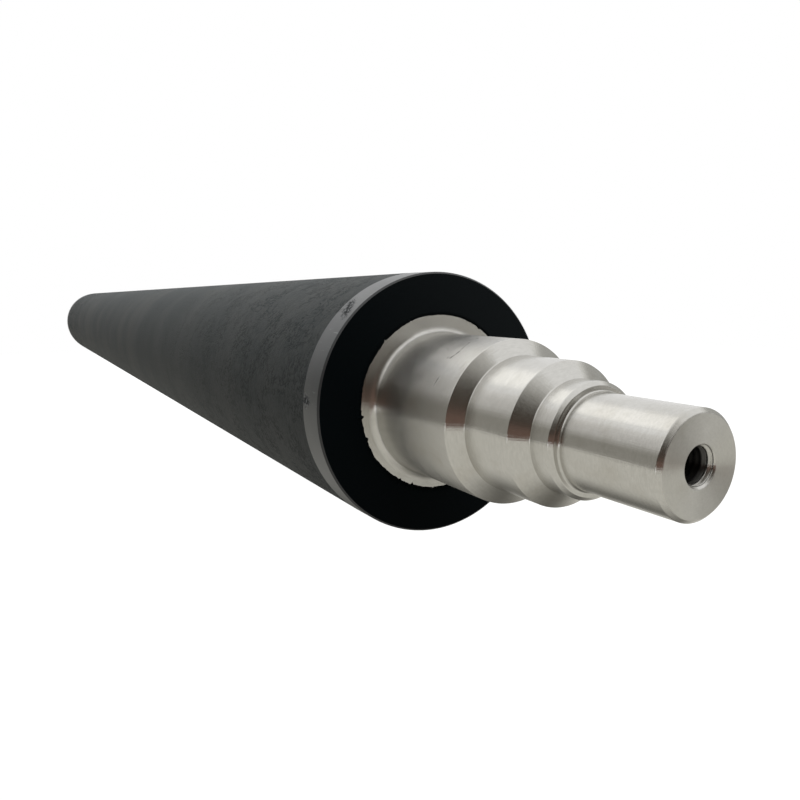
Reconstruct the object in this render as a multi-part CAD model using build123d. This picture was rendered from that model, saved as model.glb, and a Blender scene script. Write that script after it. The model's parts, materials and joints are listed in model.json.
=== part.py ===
from build123d import *
import math
import os

# Rubber covered ink roller of an offset press, in millimetres.
# The roller lies along X with the middle of its covering at the origin, and +Z is up.
# Both ends are alike, so each piece is drawn from the middle outwards and mirrored.

# Rubber covering, ground to size and bonded round the steel core
cover_length = 780.0
cover_diameter = 70.0
end_band_length = 9.2
end_band_drop = 0.1
rim_chamfer = 0.45

# Steel shaft: the core under the covering, then four turned steps at each end
core_diameter = 47.6
core_root_fillet = 2.0

neck_diameter = 38.0
neck_length = 32.5
neck_shoulder_length = 2.3

seat_diameter = 31.0
seat_length = 14.6
seat_shoulder_length = 2.8

collar_diameter = 24.0
collar_length = 5.9
collar_chamfer = 0.8

journal_diameter = 20.0
journal_length = 23.7
journal_root_fillet = 0.6
journal_chamfer = 0.8

# Tapped centre hole in each end face, for an M8 screw
tap_drill_diameter = 6.8
tap_drill_depth = 22.0
drill_point_angle = 118.0
countersink_diameter = 8.0
countersink_angle = 90.0

# A fillet or chamfer takes at most this share of the step that it stands in
largest_share_of_step = 0.45

# Where each step starts, counted along X from the middle of the roller
cover_end = cover_length / 2
neck_end = cover_end + neck_length
seat_start = neck_end + neck_shoulder_length
seat_end = seat_start + seat_length
collar_start = seat_end + seat_shoulder_length
collar_end = collar_start + collar_length
shaft_end = collar_end + journal_length


def corner(outline, x, radius):
    # The corner of a flat outline that lies nearest to a station along the axis
    return outline.vertices().sort_by_distance((x, radius, 0))[0]


def within_step(size, outer_diameter, inner_diameter):
    # Keeps a fillet or chamfer inside the step between two diameters
    step = (outer_diameter - inner_diameter) / 2
    return min(size, step * largest_share_of_step)


def turn(outline):
    # Turns a half outline round the roller's axis
    return revolve(outline, Axis.X, 360)


def both_ends(half):
    # Adds the mirrored half, which makes one solid from end to end
    return half + mirror(half, Plane.YZ)


def half_shaft_outline():
    core_radius = core_diameter / 2
    neck_radius = neck_diameter / 2
    seat_radius = seat_diameter / 2
    collar_radius = collar_diameter / 2
    journal_radius = journal_diameter / 2
    outline = make_face(
        Polyline(
            (0, 0),
            (0, core_radius),
            (cover_end, core_radius),
            (cover_end, neck_radius),
            (neck_end, neck_radius),
            (seat_start, seat_radius),
            (seat_end, seat_radius),
            (collar_start, collar_radius),
            (collar_end, collar_radius),
            (collar_end, journal_radius),
            (shaft_end, journal_radius),
            (shaft_end, 0),
            close=True,
        )
    )
    core_fillet = within_step(core_root_fillet, core_diameter, neck_diameter)
    journal_fillet = within_step(journal_root_fillet, collar_diameter, journal_diameter)
    collar_edge = within_step(collar_chamfer, collar_diameter, journal_diameter)
    tip_edge = within_step(journal_chamfer, journal_diameter, countersink_diameter)
    outline = fillet(corner(outline, cover_end, neck_radius), core_fillet)
    outline = fillet(corner(outline, collar_end, journal_radius), journal_fillet)
    outline = chamfer(corner(outline, collar_end, collar_radius), collar_edge)
    outline = chamfer(corner(outline, shaft_end, journal_radius), tip_edge)
    return outline


def half_centre_hole_outline():
    # Drilled wall, drill point inside and countersink at the mouth
    drill_radius = tap_drill_diameter / 2
    mouth_radius = countersink_diameter / 2
    mouth_depth = (mouth_radius - drill_radius) / math.tan(math.radians(countersink_angle / 2))
    point_depth = drill_radius / math.tan(math.radians(drill_point_angle / 2))
    drill_end = shaft_end - tap_drill_depth
    return make_face(
        Polyline(
            (drill_end - point_depth, 0),
            (drill_end, drill_radius),
            (shaft_end - mouth_depth, drill_radius),
            (shaft_end, mouth_radius),
            (shaft_end, 0),
            close=True,
        )
    )


def steel_shaft():
    half = turn(half_shaft_outline()) - turn(half_centre_hole_outline())
    return both_ends(half)


def rubber_cover():
    # A thick sleeve that fits the core face to face, with a ground band and a broken rim at the end
    bore_radius = core_diameter / 2
    cover_radius = cover_diameter / 2
    band_radius = cover_radius - end_band_drop
    outline = make_face(
        Polyline(
            (0, bore_radius),
            (0, cover_radius),
            (cover_end - end_band_length, cover_radius),
            (cover_end, band_radius),
            (cover_end, bore_radius),
            close=True,
        )
    )
    rim_edge = within_step(rim_chamfer, cover_diameter, core_diameter)
    outline = chamfer(corner(outline, cover_end, band_radius), rim_edge)
    return both_ends(turn(outline))


os.makedirs("parts", exist_ok=True)
pieces = {
    "steel_shaft": steel_shaft(),
    "rubber_cover": rubber_cover(),
}
for name, piece in pieces.items():
    piece.label = name
    export_step(piece, f"parts/{name}.step")
    print(name, "volume", round(piece.volume), "cubic mm, valid", piece.is_valid)
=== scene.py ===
import json
import math
import bpy
import numpy as np
from mathutils import Matrix, Vector


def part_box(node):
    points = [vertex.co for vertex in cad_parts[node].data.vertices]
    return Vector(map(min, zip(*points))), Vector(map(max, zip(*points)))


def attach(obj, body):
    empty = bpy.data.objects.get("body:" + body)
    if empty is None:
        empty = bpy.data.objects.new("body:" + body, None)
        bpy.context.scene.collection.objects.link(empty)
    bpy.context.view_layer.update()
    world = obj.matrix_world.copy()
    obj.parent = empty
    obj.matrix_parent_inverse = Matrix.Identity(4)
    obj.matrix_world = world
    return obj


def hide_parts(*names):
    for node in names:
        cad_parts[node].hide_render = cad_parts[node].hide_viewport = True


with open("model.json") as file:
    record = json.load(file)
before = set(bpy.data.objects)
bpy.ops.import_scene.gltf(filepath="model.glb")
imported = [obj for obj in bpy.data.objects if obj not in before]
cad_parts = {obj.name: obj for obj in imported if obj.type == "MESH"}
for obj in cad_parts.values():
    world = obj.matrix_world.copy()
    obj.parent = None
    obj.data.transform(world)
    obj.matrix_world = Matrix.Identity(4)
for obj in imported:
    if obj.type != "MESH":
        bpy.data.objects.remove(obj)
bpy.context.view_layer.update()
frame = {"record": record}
mounts = {m["name"]: m for m in frame["record"]["mounts"]}
millimetre = 0.001
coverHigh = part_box("rubber_cover")[1]
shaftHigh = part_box("steel_shaft")[1]


def mountRadius(name):
    return mounts[name]["dims"]["r_mm"] * millimetre


def mountSpan(name):
    # first and last station of a mount along X
    middle = mounts[name]["pos_m"][0]
    half = mounts[name]["dims"]["length_mm"] * millimetre / 2
    return middle - half, middle + half


def roundedProfile(corners, steps=4, hold=0.00012):
    # A profile is a list of (station, radius, rounding). Each corner is swapped for a short curve
    # that leaves one side at the rounding's distance and joins the other side at the same distance,
    # with a row on each side to keep the flat stretches flat.
    pts = np.array([(c[0], c[1]) for c in corners])
    size = np.array([c[2] for c in corners])
    out = [pts[0]]
    for i in range(1, len(pts) - 1):
        back, ahead = pts[i - 1] - pts[i], pts[i + 1] - pts[i]
        lengthBack, lengthAhead = np.linalg.norm(back), np.linalg.norm(ahead)
        back, ahead = back / lengthBack, ahead / lengthAhead
        reach = min(size[i], lengthBack * 0.45, lengthAhead * 0.45)
        guard = min(hold, lengthBack * 0.04, lengthAhead * 0.04)
        t = np.linspace(0, 1, steps + 1)[:, None]
        start, end = pts[i] + back * reach, pts[i] + ahead * reach
        bend = start * (1 - t) ** 2 + 2 * pts[i] * t * (1 - t) + end * t**2
        out += [pts[i] + back * (reach + guard), *bend, pts[i] + ahead * (reach + guard)]
    out.append(pts[-1])
    return np.array(out)


def denser(profile, longest):
    # Splits each stretch of a profile that is longer than the given length
    rows = [profile[0]]
    for a, b in zip(profile[:-1], profile[1:]):
        count = max(1, math.ceil(np.linalg.norm(b - a) / longest))
        rows += [a + (b - a) * k / count for k in range(1, count + 1)]
    return np.array(rows)


def pathLength(stations, radii):
    # How far along the profile each row lies
    return np.concatenate([[0], np.cumsum(np.hypot(np.diff(stations), np.diff(radii)))])


def latheMesh(name, stations, radii, along, poles=()):
    # Point (i, j) stands at row i's station along X, turned by j shares of a full turn about X:
    # x = station, y = radius times the cosine, z = radius times the sine. Four neighbours make a
    # face. With two poles each end row closes on a point of the axis and the rows run towards +X
    # on the outside. With none, the last row meets the first, and the rows run back towards -X there.
    rows, around = radii.shape
    angle = np.linspace(0, 2 * math.pi, around, endpoint=False)
    grid = np.stack([
        np.broadcast_to(stations[:, None], radii.shape), radii * np.cos(angle), radii * np.sin(angle)], axis=-1)
    tips = np.array([(p, 0.0, 0.0) for p in poles]).reshape(-1, 3)
    i, j = np.meshgrid(np.arange(rows - 1 if poles else rows), np.arange(around), indexing="ij")
    row = np.stack([i, i + 1, i + 1, i], axis=-1).reshape(-1, 4)
    column = np.stack([j, j, j + 1, j + 1], axis=-1).reshape(-1, 4)
    quads = row % rows * around + column % around
    step = along[-1] - along[-2]
    path = np.append(along, along[-1] + step)
    quadMap = np.stack([path[row], column / around], axis=-1)
    fans, fanMap = np.zeros((0, 3), int), np.zeros((0, 3, 2))
    if poles:
        k = np.arange(around)
        last = (rows - 1) * around
        firstTip, lastTip = np.full(around, rows * around), np.full(around, rows * around + 1)
        fans = np.concatenate([
            np.stack([firstTip, k, (k + 1) % around], axis=-1),
            np.stack([last + k, lastTip, last + (k + 1) % around], axis=-1)])
        early, late = np.full(around, along[0] - step), np.full(around, along[-1] + step)
        start, stop = np.full(around, along[0]), np.full(around, along[-1])
        fanPath = np.concatenate([np.stack([early, start, start], -1), np.stack([stop, late, stop], -1)])
        fanTurn = np.concatenate([np.stack([k + 0.5, k, k + 1], -1), np.stack([k, k + 0.5, k + 1], -1)]) / around
        fanMap = np.stack([fanPath, fanTurn], axis=-1)
        quads, fans, quadMap, fanMap = quads[:, ::-1], fans[:, ::-1], quadMap[:, ::-1], fanMap[:, ::-1]
    mesh = bpy.data.meshes.new(name)
    mesh.from_pydata(np.concatenate([grid.reshape(-1, 3), tips]).tolist(), [], quads.tolist() + fans.tolist())
    uv = np.concatenate([quadMap.reshape(-1, 2), fanMap.reshape(-1, 2)])
    mesh.uv_layers.new(name="turning").data.foreach_set("uv", uv.astype(np.float32).ravel())
    turned = np.stack(np.broadcast_arrays(along[:, None], np.cos(angle), np.sin(angle)), axis=-1).reshape(-1, 3)
    ends = np.array([(a, 1.0, 0.0) for a in (along[0] - step, along[-1] + step)[:len(poles)]]).reshape(-1, 3)
    marks = mesh.attributes.new("lathe", "FLOAT_VECTOR", "POINT")
    marks.data.foreach_set("vector", np.concatenate([turned, ends]).astype(np.float32).ravel())
    return mesh


def finishPiece(mesh, node, materials):
    mesh.shade_smooth()
    for material in materials:
        mesh.materials.append(material)
    piece = bpy.data.objects.new(mesh.name, mesh)
    bpy.context.scene.collection.objects.link(piece)
    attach(piece, "root")
    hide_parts(node)
    return piece


# Steel shaft: what the mounts don't say is here
shaft = dict(
    around=180,
    coreRootFillet=0.002,
    collarStart=0.4422,
    collarRadius=0.012,
    collarChamfer=0.0008,
    journalRootFillet=0.0006,
    tipChamfer=0.0008,
    edge=0.00014,
    mouthEdge=0.00006,
    holeMouthRadius=0.004,
    threadOuterRadius=0.00398,
    threadPitch=0.00125,
    threadLength=0.015,
    threadStart=0.62,
    rowsPerPitch=12,
    drillPointAngle=118,
)


def threadRadius(stations, angle):
    # Right-handed helix: the groove's middle moves one pitch along X in each turn about X.
    # Its section is a flat root, two straight flanks and a flat crest.
    p = shaft["threadPitch"]
    phase = (stations / p - angle / (2 * math.pi) + shaft["threadStart"]) % 1.0
    fromGroove = np.abs(phase - 0.5) * 2
    crest = mountRadius("near_tapped_hole")
    rise = np.clip((0.75 - fromGroove) / 0.625, 0, 1)
    return crest + (shaft["threadOuterRadius"] - crest) * rise


def halfShaftProfile():
    # From the middle of the roller along the outside and over the rim of the hole's mouth
    s = shaft
    neck, seat, journal = (mountSpan(n) for n in ("near_neck", "near_bearing_seat", "near_journal"))
    neckRadius, seatRadius, journalRadius = (
        mountRadius(n) for n in ("near_neck", "near_bearing_seat", "near_journal"))
    collarEnd = journal[0] - s["journalRootFillet"]
    corners = [
        (0.0, shaftHigh.y, 0),
        (coverHigh.x, shaftHigh.y, s["edge"]),
        (coverHigh.x, neckRadius, s["coreRootFillet"]),
        (neck[1], neckRadius, s["edge"]),
        (seat[0], seatRadius, s["edge"]),
        (seat[1], seatRadius, s["edge"]),
        (s["collarStart"], s["collarRadius"], s["edge"]),
        (collarEnd - s["collarChamfer"], s["collarRadius"], s["edge"]),
        (collarEnd, s["collarRadius"] - s["collarChamfer"], s["edge"]),
        (collarEnd, journalRadius, s["journalRootFillet"]),
        (shaftHigh.x - s["tipChamfer"], journalRadius, s["edge"]),
        (shaftHigh.x, journalRadius - s["tipChamfer"], s["edge"]),
        (shaftHigh.x, s["holeMouthRadius"], s["mouthEdge"]),
        (shaftHigh.x - s["mouthEdge"] * 3, s["holeMouthRadius"] - s["mouthEdge"] * 3, 0),
    ]
    return denser(roundedProfile(corners)[:-1], 0.012)


def steelShaftMesh():
    # Outside first, then the hole, whose wall is the larger of the countersink's cone and the thread's
    # helix, row by row. The far end is the same, turned round.
    s = shaft
    outer = halfShaftProfile()
    angle = np.linspace(0, 2 * math.pi, s["around"], endpoint=False)[None, :]
    wallRadius = mountRadius("near_tapped_hole")
    wallStart, wallEnd = mountSpan("near_tapped_hole")
    threadEnd = shaftHigh.x - s["threadLength"]
    count = round(s["threadLength"] / s["threadPitch"] * s["rowsPerPitch"])
    stations = np.linspace(outer[-1, 0], threadEnd, count + 1)[1:]
    cone = wallRadius + np.clip(stations - wallEnd, 0, None)
    fade = np.clip((stations - threadEnd) / s["threadPitch"], 0, 1)[:, None]
    pointDepth = wallRadius / math.tan(math.radians(s["drillPointAngle"] / 2))
    drillRows = np.array([[wallStart, wallRadius], [wallStart - pointDepth * 0.5, wallRadius * 0.5]])

    def oneEnd(sign):
        helix = wallRadius + (threadRadius(sign * stations[:, None], angle) - wallRadius) * fade
        x = np.concatenate([outer[:, 0], stations, drillRows[:, 0]]) * sign
        r = np.concatenate([
            np.repeat(outer[:, 1:2], s["around"], axis=1),
            np.maximum(cone[:, None], helix),
            np.repeat(drillRows[:, 1:2], s["around"], axis=1),
        ])
        return x, r

    nearX, nearR = oneEnd(1)
    farX, farR = oneEnd(-1)
    x = np.concatenate([farX[::-1], nearX[1:]])
    r = np.concatenate([farR[::-1], nearR[1:]])
    tip = wallStart - pointDepth
    return latheMesh("steel_shaft_turned", x, r, pathLength(x, r.mean(axis=1)), (-tip, tip))


# Rubber covering. Its lip laps over the core's face, a little off centre and ragged where it was trimmed
cover = dict(
    around=720,
    bandLength=0.0092,
    bandDrop=0.0001,
    rimChamfer=0.00045,
    edge=0.0001,
    lipSet=0.0006,
    lipTurn=math.radians(75),
    lipProud=0.00004,
    raggedDepth=0.0002,
    biteDepth=0.0007,
    bites=60,
    seed=11,
)


def lipRadius(coreRadius, angle, seed):
    # The core's radius, less a crescent that grows with the turn away from lipTurn, plus waves of rising
    # frequency, plus small bites that are bells of random place, width and depth.
    c = cover
    random = np.random.default_rng(seed)
    waves = np.array([7, 13, 23, 41, 67, 101, 163])[:, None]
    ragged = (np.sin(angle * waves + random.uniform(0, 2 * math.pi, waves.shape)) / waves**0.3).sum(axis=0)
    ragged /= np.abs(ragged).max()
    place = random.uniform(0, 2 * math.pi, (c["bites"], 1))
    width = random.uniform(0.006, 0.02, (c["bites"], 1))
    depth = random.uniform(-1, 1, (c["bites"], 1)) ** 3
    away = (angle - place + math.pi) % (2 * math.pi) - math.pi
    bites = (depth * np.exp(-(away / width) ** 2)).sum(axis=0)
    crescent = c["lipSet"] * (1 - np.cos(angle - c["lipTurn"]))
    radius = coreRadius - crescent + ragged * c["raggedDepth"] + bites * c["biteDepth"]
    return np.maximum(radius, coreRadius - 0.0018)


def rubberCoverMesh():
    # The profile runs along the bore, over the lip and the end face and back along the outside
    c = cover
    coreRadius, coverRadius, end = shaftHigh.y, coverHigh.y, coverHigh.x
    bandRadius = coverRadius - c["bandDrop"]
    bore = np.array([(0.0, coreRadius), (end - 0.0006, coreRadius)])
    lip = np.array([(end + c["lipProud"] * 0.3, coreRadius), (end + c["lipProud"], coreRadius)])
    outside = roundedProfile([
        (end, coreRadius + 0.0009, 0),
        (end, bandRadius - c["rimChamfer"], c["edge"]),
        (end - c["rimChamfer"], bandRadius, c["edge"]),
        (end - c["bandLength"], coverRadius, c["edge"]),
        (0.0, coverRadius, 0),
    ])
    half = np.concatenate([denser(bore, 0.03), lip, denser(outside, 0.03)])
    lipRow = len(denser(bore, 0.03)) + 1
    angle = np.linspace(0, 2 * math.pi, c["around"], endpoint=False)
    halfRadii = np.repeat(half[:, 1:2], c["around"], axis=1)

    def oneEnd(seed):
        radii = halfRadii.copy()
        radii[lipRow] = lipRadius(coreRadius, angle, seed)
        radii[lipRow - 1] = radii[lipRow] + 0.00002
        return radii

    x = np.concatenate([half[:, 0], -half[::-1, 0][1:-1]])
    r = np.concatenate([oneEnd(c["seed"]), oneEnd(c["seed"] + 1)[::-1][1:-1]])
    mesh = latheMesh("rubber_cover_ground", x, r, pathLength(x, r.mean(axis=1)))
    rowOfFace = np.arange(len(mesh.polygons)) // c["around"]
    middle = (np.abs(x) + np.abs(np.roll(x, -1))) / 2
    isBand = middle > end - c["bandLength"]
    isCut = middle > end - 0.00001
    kind = np.where(isCut, 2, np.where(isBand, 1, 0))
    mesh.polygons.foreach_set("material_index", kind[rowOfFace].astype(np.int32))
    return mesh


# Node helpers: a value is a number, a colour, or another node's output
def put(tree, socket, value):
    if isinstance(value, bpy.types.NodeSocket):
        tree.links.new(value, socket)
    else:
        socket.default_value = value


def mathNode(tree, operation, a, b=0.0):
    node = tree.nodes.new("ShaderNodeMath")
    node.operation = operation
    put(tree, node.inputs[0], a)
    put(tree, node.inputs[1], b)
    return node.outputs[0]


def fade(tree, value, low, high, toLow=0.0, toHigh=1.0):
    # Smooth step from one value to the other between two marks
    node = tree.nodes.new("ShaderNodeMapRange")
    node.interpolation_type = "SMOOTHSTEP"
    for name, v in (("Value", value), ("From Min", low), ("From Max", high), ("To Min", toLow), ("To Max", toHigh)):
        put(tree, node.inputs[name], v)
    return node.outputs["Result"]


def mixColours(tree, factor, a, b, blend="MIX"):
    node = tree.nodes.new("ShaderNodeMix")
    node.data_type = "RGBA"
    node.blend_type = blend
    for name, v in (("Factor", factor), ("A", a), ("B", b)):
        put(tree, node.inputs[name], (*v, 1) if isinstance(v, tuple) and len(v) == 3 else v)
    return node.outputs["Result"]


def noise(tree, vector, scale, detail=2.0, roughness=0.5):
    node = tree.nodes.new("ShaderNodeTexNoise")
    for name, v in (("Vector", vector), ("Scale", scale), ("Detail", detail), ("Roughness", roughness)):
        put(tree, node.inputs[name], v)
    return node.outputs["Fac"]


def stretched(tree, vector, factors):
    node = tree.nodes.new("ShaderNodeVectorMath")
    node.operation = "MULTIPLY"
    put(tree, node.inputs[0], vector)
    node.inputs[1].default_value = factors
    return node.outputs["Vector"]


def bump(tree, height, depth, normal=None):
    node = tree.nodes.new("ShaderNodeBump")
    node.inputs["Distance"].default_value = depth
    put(tree, node.inputs["Height"], height)
    if normal is not None:
        put(tree, node.inputs["Normal"], normal)
    return node.outputs["Normal"]


def splitXyz(tree, vector):
    node = tree.nodes.new("ShaderNodeSeparateXYZ")
    put(tree, node.inputs["Vector"], vector)
    return node.outputs


def onRoller(tree):
    # Object position, distance from the middle along X, radius and turn about X in radians
    place = tree.nodes.new("ShaderNodeTexCoord").outputs["Object"]
    x, y, z = splitXyz(tree, place)
    radius = mathNode(tree, "SQRT", mathNode(tree, "ADD", mathNode(tree, "MULTIPLY", y, y), mathNode(tree, "MULTIPLY", z, z)))
    turn = mathNode(tree, "ARCTAN2", z, y)
    return dict(place=place, x=x, fromMiddle=mathNode(tree, "ABSOLUTE", x), radius=radius, turn=turn)


def marksMask(tree, at, marks, wobble):
    # 1 on each short mark: an ellipse on the unrolled surface, tilted, with a soft ragged rim
    total = None
    for m in marks:
        u = mathNode(tree, "SUBTRACT", at["x"], m["station"] * millimetre)
        v = mathNode(tree, "MULTIPLY", mathNode(tree, "SUBTRACT", at["turn"], math.radians(m["turn"])), m["radius"] * millimetre)
        c, s = math.cos(math.radians(m["tilt"])), math.sin(math.radians(m["tilt"]))
        a = mathNode(tree, "ADD", mathNode(tree, "MULTIPLY", u, c), mathNode(tree, "MULTIPLY", v, s))
        b = mathNode(tree, "SUBTRACT", mathNode(tree, "MULTIPLY", v, c), mathNode(tree, "MULTIPLY", u, s))
        a = mathNode(tree, "DIVIDE", a, m["length"] * millimetre / 2)
        b = mathNode(tree, "DIVIDE", b, m["width"] * millimetre / 2)
        reach = mathNode(tree, "SQRT", mathNode(tree, "ADD", mathNode(tree, "MULTIPLY", a, a), mathNode(tree, "MULTIPLY", b, b)))
        reach = mathNode(tree, "ADD", reach, wobble)
        spot = fade(tree, reach, 1.25, 0.6)
        total = spot if total is None else mathNode(tree, "MAXIMUM", total, spot)
    return total


def newMaterial(name):
    material = bpy.data.materials.new(name)
    material.use_nodes = True
    tree = material.node_tree
    tree.nodes.clear()
    output = tree.nodes.new("ShaderNodeOutputMaterial")
    shader = tree.nodes.new("ShaderNodeBsdfPrincipled")
    tree.links.new(shader.outputs["BSDF"], output.inputs["Surface"])
    return material, tree, shader


steelFinish = dict(
    colour=(0.63, 0.62, 0.59),
    stain=(0.50, 0.475, 0.42),
    scratch=(0.05, 0.045, 0.04),
    roughness=0.165,
    neckRoughness=0.24,
    endFaceRoughness=0.33,
    anisotropy=1.0,
    # hole: painted shade, the near-black tone deep inside the tapped hole
    hole=(0.035, 0.034, 0.032),
    holeRoughness=0.45,
    ringsPerMetre=2600,
    ringDepth=0.0000012,
    streakDepth=0.000014,
    scratches=[
        dict(station=414.2, turn=128.9, radius=19, length=1.5, width=0.34, tilt=116),
        dict(station=414.7, turn=124.0, radius=19, length=1.7, width=0.28, tilt=95),
        dict(station=414.2, turn=117.5, radius=19, length=2.0, width=0.22, tilt=68),
        dict(station=413.4, turn=110.5, radius=19, length=2.3, width=0.30, tilt=70),
        dict(station=412.8, turn=103.0, radius=19, length=2.2, width=0.22, tilt=78),
        dict(station=413.0, turn=130.0, radius=19, length=0.9, width=0.26, tilt=75),
        dict(station=414.9, turn=149.0, radius=19, length=2.7, width=0.20, tilt=102),
        dict(station=409.5, turn=121.5, radius=19, length=1.6, width=0.16, tilt=40),
    ],
)


def turnedSteel():
    f = steelFinish
    material, tree, shader = newMaterial("turnedSteel")
    lathe = tree.nodes.new("ShaderNodeAttribute")
    lathe.attribute_name = "lathe"
    at = onRoller(tree)
    rings = noise(tree, stretched(tree, lathe.outputs["Vector"], (1, 0.004, 0.004)), f["ringsPerMetre"], 3, 0.6)
    streaks = noise(tree, stretched(tree, lathe.outputs["Vector"], (1, 0.9, 0.9)), 45, 4, 0.65)
    blotches = noise(tree, at["place"], 90, 5, 0.6)
    fine = noise(tree, at["place"], 900, 2, 0.5)
    tone = mixColours(tree, fade(tree, blotches, 0.5, 0.75, 0, 0.45), f["colour"], f["stain"])
    tone = mixColours(tree, fade(tree, rings, 0.3, 0.7, 0.10, 0), tone, (0.2, 0.19, 0.17))
    wobble = mathNode(tree, "MULTIPLY", mathNode(tree, "SUBTRACT", fine, 0.5), 1.6)
    scratch = marksMask(tree, at, f["scratches"], wobble)
    tone = mixColours(tree, mathNode(tree, "MULTIPLY", scratch, 0.9), tone, f["scratch"])
    # Painted shade: the steel turns near black from 0.6 mm to 3 mm inside the tapped hole; the same mask also raises
    # the roughness there
    holeShadeMask = mathNode(tree, "MULTIPLY", fade(tree, at["radius"], 0.0043, 0.0041),
                      fade(tree, at["fromMiddle"], shaftHigh.x - 0.0006, shaftHigh.x - 0.003))
    tone = mixColours(tree, holeShadeMask, tone, f["hole"])
    put(tree, shader.inputs["Base Color"], tone)
    shader.inputs["Metallic"].default_value = 1
    shader.inputs["Anisotropic"].default_value = f["anisotropy"]
    neckEnd = mountSpan("near_neck")[1]
    onNeck = fade(tree, at["fromMiddle"], neckEnd, neckEnd - 0.0003)
    onEndFace = fade(tree, at["fromMiddle"], shaftHigh.x - 0.0002, shaftHigh.x - 0.00002)
    roughness = fade(tree, onNeck, 0, 1, f["roughness"], f["neckRoughness"])
    roughness = fade(tree, onEndFace, 0, 1, roughness, f["endFaceRoughness"])
    roughness = mathNode(tree, "ADD", fade(tree, blotches, 0.3, 0.7, -0.03, 0.03), roughness)
    roughness = mathNode(tree, "ADD", roughness, mathNode(tree, "MULTIPLY", scratch, 0.3))
    roughness = mathNode(tree, "ADD", roughness, mathNode(tree, "MULTIPLY", holeShadeMask, f["holeRoughness"] - f["roughness"]))
    put(tree, shader.inputs["Roughness"], roughness)
    normal = bump(tree, rings, f["ringDepth"])
    normal = bump(tree, streaks, f["streakDepth"], normal)
    put(tree, shader.inputs["Normal"], normal)
    tangent = tree.nodes.new("ShaderNodeTangent")
    tangent.direction_type = "UV_MAP"
    tangent.uv_map = "turning"
    tree.links.new(tangent.outputs["Tangent"], shader.inputs["Tangent"])
    return material


rubberFinish = dict(
    barrel=(0.033, 0.0385, 0.0395),
    barrelPale=(0.054, 0.058, 0.0570),
    crease=(0.009, 0.013, 0.014),
    specular=0.10,
    roughness=0.62,
    creasesPerMetre=430,
    patchesPerMetre=110,
    grainPerMetre=3200,
    creaseDepth=0.00015,
    grainDepth=0.00002,
    smoothBefore=0.16,
    creasedFrom=0.34,
)


def groundRubber():
    # Creases run where a noise crosses its middle value; they fade towards the middle of the roller
    f = rubberFinish
    material, tree, shader = newMaterial("groundRubber")
    at = onRoller(tree)
    ripple = noise(tree, at["place"], f["creasesPerMetre"], 3, 0.65)
    crease = fade(tree, mathNode(tree, "ABSOLUTE", mathNode(tree, "SUBTRACT", ripple, 0.5)), 0.07, 0.01)
    worn = fade(tree, at["fromMiddle"], f["smoothBefore"], f["creasedFrom"], 0.15, 1)
    patches = fade(tree, noise(tree, at["place"], f["patchesPerMetre"], 2, 0.6), 0.42, 0.6, 0.25, 1)
    crease = mathNode(tree, "MULTIPLY", mathNode(tree, "MULTIPLY", crease, worn), patches)
    grain = noise(tree, at["place"], f["grainPerMetre"], 2, 0.5)
    along = tree.nodes.new("ShaderNodeCombineXYZ")
    put(tree, along.inputs["X"], at["x"])
    belts = noise(tree, along.outputs[0], 16, 2, 0.6)
    clouds = noise(tree, at["place"], 28, 3, 0.55)
    tone = mixColours(tree, fade(tree, mathNode(tree, "ADD", belts, clouds), 0.85, 1.25, 0, 0.9), f["barrel"], f["barrelPale"])
    speck = mathNode(tree, "MULTIPLY", fade(tree, grain, 0.55, 0.72), worn)
    tone = mixColours(tree, mathNode(tree, "MULTIPLY", speck, 0.5), tone, f["barrelPale"])
    mottle = fade(tree, noise(tree, at["place"], f["creasesPerMetre"] * 0.7, 3, 0.7), 0.42, 0.62)
    tone = mixColours(tree, mathNode(tree, "MULTIPLY", mathNode(tree, "MULTIPLY", mottle, worn), 0.6), tone, f["barrelPale"])
    tone = mixColours(tree, mathNode(tree, "MULTIPLY", crease, 0.8), tone, f["crease"])
    put(tree, shader.inputs["Base Color"], tone)
    shader.inputs["Specular IOR Level"].default_value = f["specular"]
    shader.inputs["Roughness"].default_value = f["roughness"]
    normal = bump(tree, mathNode(tree, "SUBTRACT", 1.0, crease), f["creaseDepth"])
    put(tree, shader.inputs["Normal"], bump(tree, grain, f["grainDepth"], normal))
    return material


bandFinish = dict(
    colour=(0.042, 0.046, 0.048),
    cloud=(0.028, 0.032, 0.035),
    rim=(0.030, 0.031, 0.032),
    chip=(0.006, 0.007, 0.008),
    fleck=(0.28, 0.285, 0.29),
    specular=0.45,
    roughness=0.32,
    grainPerMetre=3200,
    grainDepth=0.000004,
    pitDepth=0.00025,
    pitsPerMetre=1150,
    pitRoughness=0.9,
    scuffs=[
        dict(station=384.5, turn=133, radius=35, length=7.5, width=3.4, tilt=50),
        dict(station=382.6, turn=176, radius=35, length=4.6, width=2.6, tilt=5),
    ],
    chips=[
        dict(station=381.3, turn=134.5, radius=35, length=1.6, width=0.9, tilt=30),
        dict(station=383.6, turn=131.5, radius=35, length=0.9, width=0.7, tilt=0),
        dict(station=386.0, turn=136, radius=35, length=1.2, width=0.5, tilt=70),
        dict(station=381.6, turn=173, radius=35, length=1.8, width=0.5, tilt=10),
        dict(station=382.5, turn=179, radius=35, length=1.2, width=0.6, tilt=15),
        dict(station=389.3, turn=192, radius=35, length=0.8, width=0.8, tilt=0),
    ],
)


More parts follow.
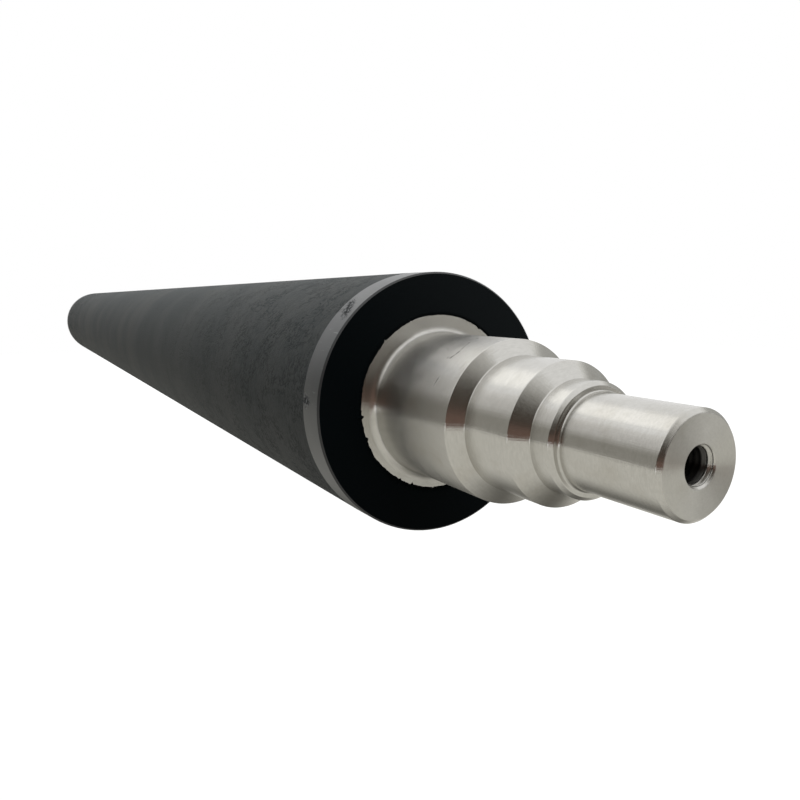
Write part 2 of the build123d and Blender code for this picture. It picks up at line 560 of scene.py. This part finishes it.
def bandRubber():
    # Smoother than the barrel, with two scuffed patches of dark pits and pale flecks, and small chips
    f = bandFinish
    material, tree, shader = newMaterial("bandRubber")
    at = onRoller(tree)
    end = coverHigh.x
    grain = noise(tree, at["place"], f["grainPerMetre"], 2, 0.5)
    pits = noise(tree, at["place"], f["pitsPerMetre"], 2, 0.6)
    clouds = noise(tree, at["place"], 60, 3, 0.6)
    lines = noise(tree, stretched(tree, at["place"], (0.12, 1, 1)), 1500, 2, 0.6)
    tone = mixColours(tree, fade(tree, clouds, 0.35, 0.7), f["colour"], f["cloud"])
    tone = mixColours(tree, fade(tree, lines, 0.62, 0.8, 0, 0.35), tone, f["fleck"])
    wobble = mathNode(tree, "MULTIPLY", mathNode(tree, "SUBTRACT", grain, 0.5), 2.2)
    scuff = marksMask(tree, at, f["scuffs"], wobble)
    pale = mathNode(tree, "MULTIPLY", scuff, fade(tree, pits, 0.52, 0.58))
    dark = mathNode(tree, "MULTIPLY", scuff, fade(tree, pits, 0.47, 0.41))
    tone = mixColours(tree, mathNode(tree, "MULTIPLY", pale, 0.6), tone, f["fleck"])
    dark = mathNode(tree, "MAXIMUM", dark, marksMask(tree, at, f["chips"], wobble))
    tone = mixColours(tree, mathNode(tree, "MULTIPLY", dark, 0.85), tone, f["chip"])
    onRim = fade(tree, at["fromMiddle"], end - cover["rimChamfer"] - 0.00006, end - cover["rimChamfer"] + 0.00003)
    tone = mixColours(tree, onRim, tone, f["rim"])
    put(tree, shader.inputs["Base Color"], tone)
    shader.inputs["Specular IOR Level"].default_value = f["specular"]
    put(tree, shader.inputs["Roughness"], fade(tree, scuff, 0, 1, f["roughness"], f["pitRoughness"]))
    normal = bump(tree, mathNode(tree, "SUBTRACT", 1.0, dark), f["pitDepth"])
    put(tree, shader.inputs["Normal"], bump(tree, grain, f["grainDepth"], normal))
    return material


cutFinish = dict(
    colour=(0.0012, 0.0026, 0.0032),
    # painted light: the paler tone towards the top, on the side where the lamp stands
    upper=(0.0085, 0.0105, 0.0115),
    upperFrom=-0.020,
    upperTo=0.045,
    roughness=0.6,
    specular=0.03,
    grainPerMetre=1400,
    grainDepth=0.00002,
)


def cutRubber():
    # Black where it was cut, with painted light that makes it a little paler towards the top on the side of the
    # light
    f = cutFinish
    material, tree, shader = newMaterial("cutRubber")
    at = onRoller(tree)
    grain = noise(tree, at["place"], f["grainPerMetre"], 3, 0.6)
    x, y, z = splitXyz(tree, at["place"])
    # Painted light: the tone grows paler towards +Y and up, where the lamp stands
    rise = mathNode(tree, "ADD", mathNode(tree, "MULTIPLY", y, 0.75), mathNode(tree, "MULTIPLY", z, 0.66))
    rise = mathNode(tree, "ADD", rise, mathNode(tree, "MULTIPLY", mathNode(tree, "SUBTRACT", grain, 0.5), 0.01))
    tone = mixColours(tree, fade(tree, rise, f["upperFrom"], f["upperTo"]), f["colour"], f["upper"])
    put(tree, shader.inputs["Base Color"], tone)
    shader.inputs["Roughness"].default_value = f["roughness"]
    shader.inputs["Specular IOR Level"].default_value = f["specular"]
    put(tree, shader.inputs["Normal"], bump(tree, grain, f["grainDepth"]))
    return material


steelShaft = finishPiece(steelShaftMesh(), "steel_shaft", [turnedSteel()])
print("steel shaft made,", len(steelShaft.data.polygons), "faces")
rubberCover = finishPiece(rubberCoverMesh(), "rubber_cover", [groundRubber(), bandRubber(), cutRubber()])
print("rubber covering made,", len(rubberCover.data.polygons), "faces")

# Camera: where the photograph was taken from, by the outlines of the barrel and the steps
camera = dict(
    focalPixels=700,
    imagePixels=800,
    sensor=36,
    faceRadius=0.0345,
    faceCentre=(0.299, 0.0301, 5.4411),
    axis=(0.48872, 0.12429, -0.86354),
)


def placeCamera():
    # The roller's axis in camera terms is (right, down, away); the camera has no roll
    c = camera
    ax, ay, az = Vector(c["axis"]).normalized()
    right = Vector((ax, math.sqrt(1 - ax * ax), 0))
    down = Vector((ay, -ax * ay / right.y, 0))
    down.z = -math.sqrt(1 - down.x**2 - down.y**2)
    away = right.cross(down)
    place = Vector((coverHigh.x, 0, 0))
    for direction, amount in zip((right, down, away), c["faceCentre"]):
        place -= direction * amount * c["faceRadius"]
    data = bpy.data.cameras.new("camera")
    data.sensor_width = c["sensor"]
    data.lens = c["focalPixels"] * c["sensor"] / c["imagePixels"]
    data.clip_start, data.clip_end = 0.01, 50
    made = bpy.data.objects.new("camera", data)
    bpy.context.scene.collection.objects.link(made)
    made.matrix_world = Matrix((
        (right.x, -down.x, -away.x, place.x),
        (right.y, -down.y, -away.y, place.y),
        (right.z, -down.z, -away.z, place.z),
        (0, 0, 0, 1)))
    bpy.context.scene.camera = made


placeCamera()

# Studio: white floor and surroundings, one wide soft lamp above, and cards that only the steel mirrors
studio = dict(
    floorHeight=-0.5,
    floorSize=14,
    floorColour=(0.42, 0.42, 0.415),
    floorGlow=0.66,
    floorGlowFar=1.0,
    floorNear=0.8,
    floorFar=3.5,
    worldFill=0.32,
    lampPlace=(0.35, 0.55, 1.2),
    lampSize=(2.8, 1.9),
    lampGlow=2.5,
)

cards = dict(
    photographer=dict(
        corner=(1.15, -2.4, -0.14), sideA=(0, 2.6, 0), sideB=(0, 0, 1.14),
        stops=[(0.0, (0.16, 0.105, 0.085)), (0.18, (0.07, 0.055, 0.045)), (0.45, (0.055, 0.048, 0.038)),
               (0.72, (0.42, 0.41, 0.38)), (1.0, (1.0, 1.0, 0.97))]),
    doorway=dict(
        corner=(1.15, 0.2, -0.14), sideA=(0, 0.8, 0), sideB=(0, 0, 0.84),
        stops=[(0.0, (0.33, 0.32, 0.30)), (0.4, (0.36, 0.355, 0.33)), (0.7, (0.95, 0.94, 0.92))]),
    corner=dict(
        corner=(0.3, -1.25, -0.14), sideA=(0.85, -1.15, 0), sideB=(0, 0, 1.14),
        stops=[(0.0, (0.16, 0.125, 0.10)), (0.45, (0.12, 0.11, 0.095)), (1.0, (0.8, 0.79, 0.77))]),
    wall=dict(
        corner=(-4.0, -1.25, -0.3), sideA=(4.3, 0, 0), sideB=(0, 0, 2.2),
        stops=[(0.0, (0.34, 0.33, 0.30)), (0.25, (0.33, 0.32, 0.29)), (0.9, (0.66, 0.65, 0.63)),
               (1.9, (0.86, 0.85, 0.83))]),
    nearSide=dict(
        corner=(-0.35, 1.35, -0.3), sideA=(1.5, 0, 0), sideB=(0, 0, 1.35),
        stops=[(0.0, (0.42, 0.42, 0.40)), (0.7, (0.50, 0.50, 0.48)), (1.05, (0.95, 0.95, 0.93))]),
    window=dict(
        corner=(-1.9, -0.42, 1.19), sideA=(1.75, 0, 0), sideB=(0, 0.8, 0),
        stops=[(1.0, (1.4, 1.39, 1.36)), (1.3, (1.4, 1.39, 1.36))]),
)
tableCard = dict(
    corner=(-2.0, -0.62, -0.12), sideA=(3.05, 0, 0), sideB=(0, 2.2, 0),
    shaded=(0.15, 0.145, 0.13), lit=(0.66, 0.648, 0.595),
    shadeMiddle=0.045, shadeWidth=0.10, shadeStart=0.55, shadeFade=0.09)


def litForEyes(tree, low, high):
    # The higher strength for rays from the camera, mirrors and glass, the lower one for the rest
    path = tree.nodes.new("ShaderNodeLightPath")
    seen = mathNode(tree, "MAXIMUM", path.outputs["Is Camera Ray"], path.outputs["Is Glossy Ray"])
    seen = mathNode(tree, "MAXIMUM", seen, path.outputs["Is Transmission Ray"])
    return fade(tree, seen, 0, 1, low, high)


def placeWorld():
    world = bpy.data.worlds.new("studio")
    bpy.context.scene.world = world
    world.use_nodes = True
    tree = world.node_tree
    background = tree.nodes["Background"]
    background.inputs["Color"].default_value = (1, 1, 1, 1)
    put(tree, background.inputs["Strength"], litForEyes(tree, studio["worldFill"], 1.0))


def flatSheet(name, corner, sideA, sideB, material):
    # A corner plus shares of the two sides
    a, b = np.meshgrid([0, 1], [0, 1], indexing="ij")
    points = np.array(corner) + a[..., None] * np.array(sideA) + b[..., None] * np.array(sideB)
    mesh = bpy.data.meshes.new(name)
    mesh.from_pydata(points.reshape(-1, 3).tolist(), [], [(0, 2, 3, 1)])
    mesh.materials.append(material)
    sheet = bpy.data.objects.new(name, mesh)
    bpy.context.scene.collection.objects.link(sheet)
    return sheet


def floorPaint():
    material, tree, shader = newMaterial("floorPaint")
    shader.inputs["Base Color"].default_value = (*studio["floorColour"], 1)
    shader.inputs["Roughness"].default_value = 0.9
    shader.inputs["Specular IOR Level"].default_value = 0
    shader.inputs["Emission Color"].default_value = (1, 1, 1, 1)
    s = studio
    away = tree.nodes.new("ShaderNodeVectorMath")
    away.operation = "LENGTH"
    tree.links.new(tree.nodes.new("ShaderNodeTexCoord").outputs["Object"], away.inputs[0])
    glow = fade(tree, away.outputs["Value"], s["floorNear"], s["floorFar"], s["floorGlow"], s["floorGlowFar"])
    put(tree, shader.inputs["Emission Strength"], litForEyes(tree, 0.0, glow))
    return material


def cardPaint(name):
    # Plain light of one colour, whose inputs the caller sets or links
    material = bpy.data.materials.new(name)
    material.use_nodes = True
    tree = material.node_tree
    tree.nodes.clear()
    output = tree.nodes.new("ShaderNodeOutputMaterial")
    glow = tree.nodes.new("ShaderNodeEmission")
    tree.links.new(glow.outputs["Emission"], output.inputs["Surface"])
    return material, tree, glow


def byHeight(tree, height, stops):
    # Fades from each colour to the next between their heights
    colour = (*stops[0][1], 1)
    for (low, _), (high, following) in zip(stops, stops[1:]):
        colour = mixColours(tree, fade(tree, height, low, high), colour, following)
    return colour


def hangCard(name, card, material):
    sheet = flatSheet(name, card["corner"], card["sideA"], card["sideB"], material)
    sheet.visible_camera = False
    sheet.visible_shadow = False
    sheet.visible_diffuse = False


def placeStudio():
    placeWorld()
    half = studio["floorSize"] / 2
    flatSheet("floor", (-half, -half, studio["floorHeight"]), (2 * half, 0, 0), (0, 2 * half, 0), floorPaint())
    for name, card in cards.items():
        material, tree, glow = cardPaint(name + "CardPaint")
        height = splitXyz(tree, tree.nodes.new("ShaderNodeTexCoord").outputs["Object"])[2]
        put(tree, glow.inputs["Color"], byHeight(tree, height, card["stops"]))
        hangCard(name + "Card", card, material)
    material, tree, glow = cardPaint("tableCardPaint")
    x, y, z = splitXyz(tree, tree.nodes.new("ShaderNodeTexCoord").outputs["Object"])
    t = tableCard
    aside = mathNode(tree, "DIVIDE", mathNode(tree, "ABSOLUTE", mathNode(tree, "SUBTRACT", y, t["shadeMiddle"])), t["shadeWidth"])
    ahead = mathNode(tree, "DIVIDE", mathNode(tree, "SUBTRACT", x, t["shadeStart"] - t["shadeFade"]), t["shadeFade"])
    lit = fade(tree, mathNode(tree, "MAXIMUM", aside, ahead), 0.0, 1.0)
    put(tree, glow.inputs["Color"], mixColours(tree, lit, t["shaded"], t["lit"]))
    hangCard("tableCard", t, material)
    lamp = bpy.data.lights.new("lamp", "AREA")
    lamp.shape = "RECTANGLE"
    lamp.size, lamp.size_y = studio["lampSize"]
    lamp.energy = studio["lampGlow"] * math.pi * lamp.size * lamp.size_y
    placed = bpy.data.objects.new("lamp", lamp)
    placed.location = studio["lampPlace"]
    placed.visible_camera = False
    placed.visible_glossy = False
    bpy.context.scene.collection.objects.link(placed)


placeStudio()
print("camera and studio placed")
bpy.context.scene.view_settings.view_transform = "Standard"
